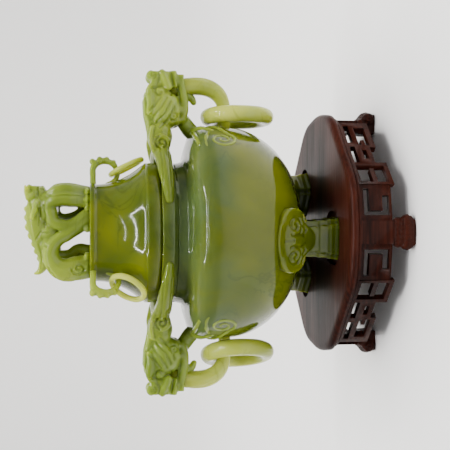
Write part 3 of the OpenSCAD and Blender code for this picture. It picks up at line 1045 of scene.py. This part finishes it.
@dataclass
class Finial:
    """The coiled dragon that stands on the lid."""

    base_z: float = 147.3
    beside: float = 16.0
    wear: tuple[float, float] = (0.18, 4.0)

    def coils(self, clay: Clay) -> None:
        """Adds the coils that carry the body, at the front and the back."""
        low = self.base_z
        clay.strand([(-16.8, -5.0, low + 2, 6.2), (-17.6, -5.6, 154, 6.3), (-18.2, -6.2, 160, 5.9),
                     (-14.8, -6.4, 164.8, 4.9), (-8.8, -6.6, 166.0, 3.8), (-3.9, -6.6, 163.2, 3.4),
                     (-0.8, -6.6, 158.5, 3.4), (2.6, -6.5, 153.4, 3.5), (6.0, -6.0, low + 1.6, 3.8)])
        clay.strand([(8.6, -6.2, low + 1.6, 3.4), (4.4, -6.8, 155.6, 2.9), (3.7, -7.0, 160.0, 3.0),
                     (5.6, -6.8, 164.8, 3.1), (10.2, -6.8, 166.4, 3.3)])
        clay.strand([(-13.2, 6.5, low + 1.6, 4.8), (-16.2, 7.0, 156, 4.8), (-14.5, 7.0, 162.6, 4.4),
                     (-8.0, 7.0, 165.6, 3.8), (-2.2, 6.5, 163.6, 3.4), (1.8, 6.5, 158.5, 3.2),
                     (6.0, 6.5, 153.0, 3.2), (9.5, 6.0, low + 1.6, 3.6)])
        clay.strand([(-8.6, 1.5, low + 1.4, 3.0), (-8.0, 2.6, 153.0, 2.7), (-11.0, 3.4, 158.0, 2.8),
                     (-11.5, 3.0, 163.5, 3.0)])
        clay.strand([(12.0, 6.4, low + 1.6, 3.2), (7.4, 6.9, 157.0, 3.0), (8.0, 6.9, 163.5, 3.2),
                     (13.0, 6.6, 166.0, 3.4)])
        for s in (-1, 1):
            for x, y, r in ((16.2, 7.6, 3.7), (20.2, 5.4, 3.3), (21.8, 1.6, 2.6)):
                clay.strand([(x - 0.6, y - 0.8, low + 1.6, r * 0.9), (x + 0.5, y, 156.5, r * 1.02),
                             (x + 0.2, y, 163.4, r), (x - 1.6, y - 0.6, 166.6, r * 0.8)], s < 0)
        clay.ball((19.0, 0, 158.0), (3.0, 6.0, 8.0))
        for x, y in ((12.6, -9.6), (16.4, -11.0), (20.2, -9.6)):
            clay.ball((x, y, low + 1.3), (2.0, 2.2, 1.6))
        for x, y, r in ((-17, -8.6, 3.0), (-11.6, -8.8, 2.2), (2.0, -8.2, 2.0)):
            clay.ball((x, y, low + 1.4), (r, r, 1.8))

    def body(self, clay: Clay) -> None:
        """Adds the tail, the ridged back and the head."""
        clay.strand([(-20.2, -1, 174.2, 0.8), (-19.4, -1, 172.4, 1.5), (-17.0, -1, 170.6, 2.4),
                     (-11.5, -0.5, 169.8, 3.6), (-5.5, 0, 170.6, 4.7), (1.0, 0, 172.0, 5.9), (7.0, 0, 172.6, 6.6),
                     (12.5, 0, 172.6, 6.7), (17.2, 0, 173.0, 5.2)])
        clay.ball((-8.0, 0, 167.6), (8.5, 8.0, 4.2))
        clay.ball((1.0, 0, 167.2), (7.0, 7.6, 5.6))
        clay.ball((12.0, 0, 168.4), (9.2, 8.6, 5.4))
        for x, z, r in ((-13.0, 172.6, 1.2), (-9.4, 173.8, 1.3), (-5.6, 174.9, 1.5), (-1.6, 176.4, 1.7),
                        (2.8, 177.5, 1.9), (7.4, 178.2, 1.7), (11.8, 178.3, 1.6)):
            clay.ball((x, 0, z), (r * 1.2, 1.0, r), (0, -25, 0))
        clay.block((21.0, 0, 174.6), (4.6, 8.2, 6.4))
        clay.ball((20.6, 0, 170.8), (3.0, 3.6, 1.8))
        for s in (-1, 1):
            clay.ball((22.4, s * 2.6, 177.0), (1.6, 1.8, 1.4))
            clay.ball((18.6, s * 4.6, 175.8), (1.9, 1.5, 1.7))
            clay.strand([(17.0, 3.4, 177.4, 1.5), (20.2, 4.2, 178.4, 1.2), (23.0, 4.8, 178.8, 0.7)], s < 0)
            clay.strand([(15.0, 6.2, 173.0, 1.8), (11.0, 7.6, 174.2, 1.6), (7.0, 7.6, 175.6, 1.0)], s < 0)

    def carve(self, clay: Clay) -> None:
        """Engraves the mouth, mane, belly and spine lines."""
        for s in (-1, 1):
            toward = (0, -s, 0)

            def side(*spots: tuple[float, float]) -> list[Point]:
                """A line drawn on the side view."""
                return [(x, s * self.beside, z) for x, z in spots]

            clay.engrave([side((24.0, 172.9), (18.8, 172.6))], 1.0, 1.1, toward)
            clay.engrave([
                side((15.5, 177.0), (11.5, 175.6), (6.0, 176.4)), side((15.0, 173.2), (10.0, 171.6), (4.0, 172.2)),
                side((13.5, 170.0), (8.0, 168.8), (3.0, 169.4)), side((-17.5, 171.6), (-12.0, 171.0), (-6.0, 172.4)),
                side((-3.5, 173.8), (0.5, 171.2), (0.0, 167.8)), side((-9.0, 171.6), (-6.2, 169.8), (-6.6, 168.2)),
                spiral((-17.6, s * self.beside, 152.6), (1, 0, 0), (0, 0, 1), 3.6, 1.3, 90),
                spiral((20.9, s * self.beside, 176.6), (1, 0, 0), (0, 0, 1), 1.3, 1.0),
                side((-22.5, 163.6), (-19.5, 165.8)), side((-20.0, 166.4), (-17.0, 167.4)),
                side((18.2, 166.5), (18.6, 158.0), (18.0, 150.0)), side((12.6, 152.0), (13.4, 149.6)),
            ], 0.85, 0.7, toward)

    def build(self, finishes: Finishes) -> None:
        """Carves the finial and dresses it."""
        clay = Clay()
        self.coils(clay)
        self.body(clay)
        clay.melt(0.42, 3)
        self.carve(clay)
        clay.weather(*self.wear)
        finish_piece(clay, "finial_dragon_stone", finishes.pale, "lid", ["finial_dragon"])


@dataclass
class Stand:
    """The fretted hardwood stand: moulded board, pierced panels and scrolled feet."""

    turn_reach: float = 54.8
    turn_half: float = 22.3
    post_reach: float = 58.5
    board_z: float = 25.0
    top_z: float = 30.5
    leg_r: float = 31.0
    leg_az: tuple[float, ...] = (-95.0, 48.0, 134.0)
    pocket: tuple[float, float, float] = (23.0, 26.0, 2.1)
    pocket_corner: float = 8.0
    cutter_h: float = 6.0
    corner_cut: float = 8.0
    foot_wear: tuple[float, float] = (0.12, 3.0)

    def plan(self, grow: float) -> list[tuple[float, float]]:
        """The board's outline, grown outwards.

        Args:
            grow: How far.

        Returns:
            The outline's points, with every corner rounded.
        """
        reach = self.turn_reach + grow
        half = self.turn_half + grow * math.tan(math.radians(22.5))
        corners = []
        for quarter in range(4):
            turn = Matrix.Rotation(math.radians(90 * quarter), 2)
            for spot in ((reach, -half), (self.post_reach + grow, 0), (reach, half)):
                corners.append(tuple(turn @ Vector(spot)))
        closed = [corners[-1], *corners, corners[0]]
        points = rounded([(x, y, self.corner_cut) for x, y in closed], 6)
        return points[1:-1]

    def board(self) -> Clay:
        """Makes the moulded board from its outline, raised and drawn in level by level.

        Returns:
            The board with its pockets for the legs.
        """
        levels = [(1.2, 25.0), (2.0, 25.2), (2.1, 25.9), (1.9, 26.4), (1.5, 26.6), (3.0, 26.8), (3.5, 27.2),
                  (3.6, 27.9), (3.5, 28.6), (3.1, 29.3), (2.4, 29.9), (1.5, 30.3), (0.4, 30.48), (-0.8, 30.5)]
        clay = Clay()
        ring = [clay.bm.verts.new((x, y, levels[0][1])) for x, y in self.plan(levels[0][0])]
        edges = [clay.bm.edges.new(pair) for pair in zip(ring, ring[1:] + ring[:1])]
        clay.bm.faces.new(ring)
        for grow, height in levels[1:]:
            made = bmesh.ops.extrude_edge_only(clay.bm, edges=edges)["geom"]
            edges = [g for g in made if isinstance(g, bmesh.types.BMEdge) and g.is_boundary]
            raised = [g for g in made if isinstance(g, bmesh.types.BMVert)]
            for vert, (x, y) in zip(raised, self.plan(grow)):
                vert.co = (x, y, height)
        bmesh.ops.edgeloop_fill(clay.bm, edges=edges)
        bmesh.ops.recalc_face_normals(clay.bm, faces=clay.bm.faces)
        return self.pocketed(clay)

    def pocketed(self, clay: Clay) -> Clay:
        """Cuts the three pockets that hold the censer's legs.

        Args:
            clay: The board.

        Returns:
            The same board, cut.
        """
        deep, wide, down = self.pocket
        cutter = bmesh.new()
        for azimuth in self.leg_az:
            turn = Matrix.Rotation(math.radians(azimuth), 4, "Z")
            place = turn @ Matrix.Translation(
                (self.leg_r, 0, self.top_z - down + self.cutter_h / 2)) @ Matrix.Diagonal(
                (deep, wide, self.cutter_h, 1))
            made = bmesh.ops.create_cube(cutter, size=1.0, matrix=place)["verts"]
            corners = [e for e in {e for v in made for e in v.link_edges}
                       if abs(e.verts[0].co.z - e.verts[1].co.z) > self.cutter_h / 2]
            bmesh.ops.bevel(cutter, geom=corners, offset=self.pocket_corner, offset_type="OFFSET", segments=8,
                            profile=0.5, affect="EDGES", material=-1)
        holders = []
        for bm in (clay.bm, cutter):
            mesh = bpy.data.meshes.new("plank")
            bm.to_mesh(mesh)
            holders.append(linked("plank", mesh))
        cut = holders[0].modifiers.new("pockets", "BOOLEAN")
        cut.operation = "DIFFERENCE"
        cut.solver = "EXACT"
        cut.object = holders[1]
        clay.bm.clear()
        take_baked(clay.bm, holders[0])
        for holder in holders:
            bpy.data.objects.remove(holder)
        cutter.free()
        return clay

    @staticmethod
    def softened(node: str, cut: float) -> Clay:
        """A copy of a CAD node with its edges eased.

        Args:
            node: The node.
            cut: Width of the easing.

        Returns:
            The copy, in millimetres.
        """
        clay = Clay()
        clay.bm.from_mesh(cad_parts[node].data)
        bmesh.ops.scale(clay.bm, vec=(1 / MM,) * 3, verts=clay.bm.verts)
        bmesh.ops.remove_doubles(clay.bm, verts=clay.bm.verts, dist=0.002)
        bmesh.ops.dissolve_limit(clay.bm, angle_limit=math.radians(1), verts=clay.bm.verts, edges=clay.bm.edges)
        sharp = [e for e in clay.bm.edges if len(e.link_faces) == 2 and e.calc_face_angle() > math.radians(30)]
        bmesh.ops.bevel(clay.bm, geom=sharp, offset=cut, offset_type="OFFSET", segments=2, profile=0.5,
                        affect="EDGES", clamp_overlap=True, material=-1)
        bmesh.ops.recalc_face_normals(clay.bm, faces=clay.bm.faces)
        return clay

    def foot(self) -> Clay:
        """Carves one scrolled foot, on +X.

        Returns:
            The carved shape.
        """
        clay = Clay()
        clay.block((55.0, 0, 4.6), (7.2, 12.2, 9.0))
        clay.bar([(59.4, -5.2, 3.6), (60.2, 0, 3.5), (59.4, 5.2, 3.6)], [3.3, 3.5, 3.3])
        clay.bar([(57.2, -4.9, 7.0), (57.8, 0, 7.3), (57.2, 4.9, 7.0)], [2.3, 2.5, 2.3])
        clay.block((58.6, 0, 1.2), (6.4, 11.8, 2.4))
        clay.melt(0.38, 3)
        for s in (-1, 1):
            clay.engrave([spiral((59.4, -s * 12, 3.8), (1, 0, 0), (0, 0, 1), 2.4, 1.3, 120)], 0.7, 0.5, (0, s, 0))
        clay.engrave([[(70, -5.5, 6.0), (70, 0, 6.3), (70, 5.5, 6.0)]], 0.8, 0.6, (-1, 0, 0))
        clay.engrave([[(70, y * 1.25, 8.6), (70, y, 6.8), (70, y * 1.1, 4.6), (70, y * 0.8, 2.2)]
                      for y in (-3.6, -1.2, 1.2, 3.6)], 0.6, 0.3, (-1, 0, 0))
        clay.weather(*self.foot_wear)
        for vert in clay.bm.verts:
            if vert.co.z < 0.3:
                vert.co.z = 0.0
        return clay

    def build(self, finishes: Finishes) -> None:
        """Makes the board, panels and feet and dresses them."""
        def dress(clay: Clay, node: str, smooth: bool) -> None:
            """Finishes one wooden piece; where it isn't smooth all over, its flat faces stay flat."""
            piece = finish_piece(clay, f"{node}_wood", finishes.wood, "stand", [node])
            if not smooth:
                piece.data.set_sharp_from_angle(angle=math.radians(32))

        dress(self.board(), "stand_board", False)
        foot = self.foot()
        for index, corner in enumerate(("front", "right", "back", "left")):
            dress(foot.turned(90 * index - 90), f"stand_foot_{corner}", True)
            dress(self.softened(f"corner_panel_{corner}", 0.35), f"corner_panel_{corner}", False)
        for side in ("front_right", "back_right", "back_left", "front_left"):
            dress(self.softened(f"side_panel_{side}", 0.3), f"side_panel_{side}", False)


# ---------------------------------------------------------------- studio


@dataclass
class Studio:
    """Floor sweep, lights and camera."""

    camera_at: tuple[float, float, float] = (0.0, -0.4211, 0.14613)
    pitch: float = 9.108
    yaw: float = 0.53
    roll: float = 0.0
    lens: float = 66.10
    sweep_back: float = 0.75
    sweep_bend: float = 0.35
    sweep_front: float = 1.5
    sweep_half: float = 3.0
    wall_h: float = 2.0
    tube_z: float = 0.9
    tube_width: float = 0.011
    room_light: float = 0.50

    def build(self) -> None:
        """Builds the whole studio."""
        self.build_camera()
        self.build_sweep()
        self.build_lights()

    def build_camera(self) -> None:
        """Places the camera: the object stands with its top towards the image's left."""
        pitch, yaw, roll = (math.radians(a) for a in (self.pitch, self.yaw, self.roll))
        ahead = Vector((math.cos(pitch) * math.sin(yaw), math.cos(pitch) * math.cos(yaw), -math.sin(pitch)))
        right = Vector((math.cos(yaw), -math.sin(yaw), 0.0))
        above = right.cross(ahead)
        image_x = math.sin(roll) * right - math.cos(roll) * above
        image_y = math.cos(roll) * right + math.sin(roll) * above
        data = bpy.data.cameras.new("camera")
        data.lens = self.lens
        data.sensor_width = 36.0
        data.clip_start = 0.01
        camera = linked("camera", data)
        camera.matrix_world = Matrix.LocRotScale(
            Vector(self.camera_at), Matrix((image_x, image_y, -ahead)).transposed().to_quaternion(), None)
        bpy.context.scene.camera = camera

    def build_sweep(self) -> None:
        """Makes the pale floor that curves up behind the object."""
        bm = bmesh.new()
        edge = [bm.verts.new((x, -self.sweep_front, 0.0)) for x in (-self.sweep_half, self.sweep_half)]
        line = [bm.edges.new(edge)]
        flat = bmesh.ops.extrude_edge_only(bm, edges=line)["geom"]
        moved = [g for g in flat if isinstance(g, bmesh.types.BMVert)]
        bmesh.ops.translate(bm, verts=moved, vec=(0, self.sweep_front + self.sweep_back, 0))
        edges = [g for g in flat if isinstance(g, bmesh.types.BMEdge) and all(v in moved for v in g.verts)]
        bend = bmesh.ops.spin(bm, geom=edges + moved, cent=(0, self.sweep_back, self.sweep_bend), axis=(1, 0, 0),
                              angle=math.radians(90), steps=24)["geom_last"]
        top = [g for g in bend if isinstance(g, bmesh.types.BMEdge)]
        wall = bmesh.ops.extrude_edge_only(bm, edges=top)["geom"]
        raised = [g for g in wall if isinstance(g, bmesh.types.BMVert)]
        bmesh.ops.translate(bm, verts=raised, vec=(0, 0, self.wall_h))
        mesh = bpy.data.meshes.new("sweep")
        bm.to_mesh(mesh)
        bm.free()
        mesh.shade_smooth()
        mesh.materials.append(Paper("paper").make())
        linked("sweep", mesh)

    def add_light(self, name: str, place: Point, aim: Point, size: tuple[float, float], power: float,
                  colour: Point = (1, 1, 1)) -> None:
        """Adds one rectangular soft light, which the polish does not show.

        Args:
            name: Its name.
            place: Where it hangs, in metres.
            aim: What it points at.
            size: Its width and height.
            power: Watts.
            colour: Its tint.
        """
        data = bpy.data.lights.new(name, "AREA")
        data.shape = "RECTANGLE"
        data.size, data.size_y = size
        data.energy = power
        data.color = colour
        light = linked(name, data)
        direction = Vector(aim) - Vector(place)
        light.matrix_world = Matrix.LocRotScale(Vector(place), direction.to_track_quat("-Z", "Y"), None)
        light.visible_glossy = False

    def add_strip(self, name: str, start: tuple[float, float], end: tuple[float, float], power: float) -> None:
        """Hangs a thin tube of light over the object, seen as a bright line in the polish.

        Args:
            name: Its name.
            start: One end, in plan.
            end: The other end, in plan.
            power: Watts.
        """
        low, high = (Vector((*spot, self.tube_z)) for spot in (start, end))
        data = bpy.data.lights.new(name, "AREA")
        data.shape = "RECTANGLE"
        data.size, data.size_y = (high - low).length, self.tube_width
        data.energy = power
        light = linked(name, data)
        along = (high - low).normalized()
        down = (Vector((0, 0, 0.1)) - (low + high) / 2).normalized()
        across = along.cross(down).normalized()
        turn = Matrix((along, across, along.cross(across))).transposed()
        light.matrix_world = Matrix.LocRotScale((low + high) / 2, turn.to_quaternion(), None)

    def build_lights(self) -> None:
        """Hangs a soft box overhead and the thin tubes that show in the polish, in an evenly lit room."""
        self.add_light("soft_box", (0.0, 0.25, 1.25), (0.0, 0.1, 0.0), (1.6, 1.2), 27.0, (1.0, 0.985, 0.96))
        self.add_strip("tube_front", (-0.25, -0.37), (0.41, -0.37), 4.5)
        self.add_strip("tube_far", (-0.26, -0.66), (0.62, -0.66), 2.2)
        self.add_strip("tube_left", (-0.27, -0.34), (-0.29, -0.06), 1.8)
        self.add_strip("tube_right", (0.43, -0.34), (0.45, 0.02), 2.0)
        world = bpy.data.worlds.new("room")
        world.use_nodes = True
        background = world.node_tree.nodes["Background"]
        background.inputs["Color"].default_value = (0.97, 0.98, 1.0, 1)
        background.inputs["Strength"].default_value = self.room_light
        bpy.context.scene.world = world


def main() -> None:
    """Builds the studio and every sub-assembly."""
    logging.basicConfig(level=logging.INFO, format="%(name)s: %(message)s")
    Studio().build()
    jade = Jade("jade").make()
    # painted glow: lighter copies of the jade for the loops and finial, the rings and tongues, and the handles,
    # standing for light through thin stone; the handle copy also carries painted shade near the axis
    pale = Jade("jade_pale", deep=(0.11, 0.16, 0.010), body=(0.19, 0.255, 0.024), warm=(0.28, 0.335, 0.034),
                cloud=(0.26, 0.34, 0.08), reflection_share=0.0, painted_light_share=0.0).make()
    ring = Jade("jade_ring_painted_glow", deep=(0.20, 0.245, 0.022), body=(0.34, 0.385, 0.050), warm=(0.47, 0.50, 0.09),
                cloud=(0.40, 0.46, 0.12), reflection_share=0.0, painted_light_share=0.0, glow=0.9).make()
    handle = Jade("jade_handle_painted_glow", deep=(0.10, 0.15, 0.009), body=(0.17, 0.235, 0.022), warm=(0.25, 0.31, 0.03),
                  cloud=(0.24, 0.32, 0.08), reflection_share=0.0, painted_light_share=0.0, shade_near_axis_share=0.85).make()
    finishes = Finishes(jade, pale, ring, handle, Hardwood("hardwood").make())
    bowl = Bowl()
    for part in (Stand(), bowl, Leg(bowl), Dragon(bowl), Rings(), Lid(), Finial()):
        part.build(finishes)


if __name__ == "__main__":
    main()
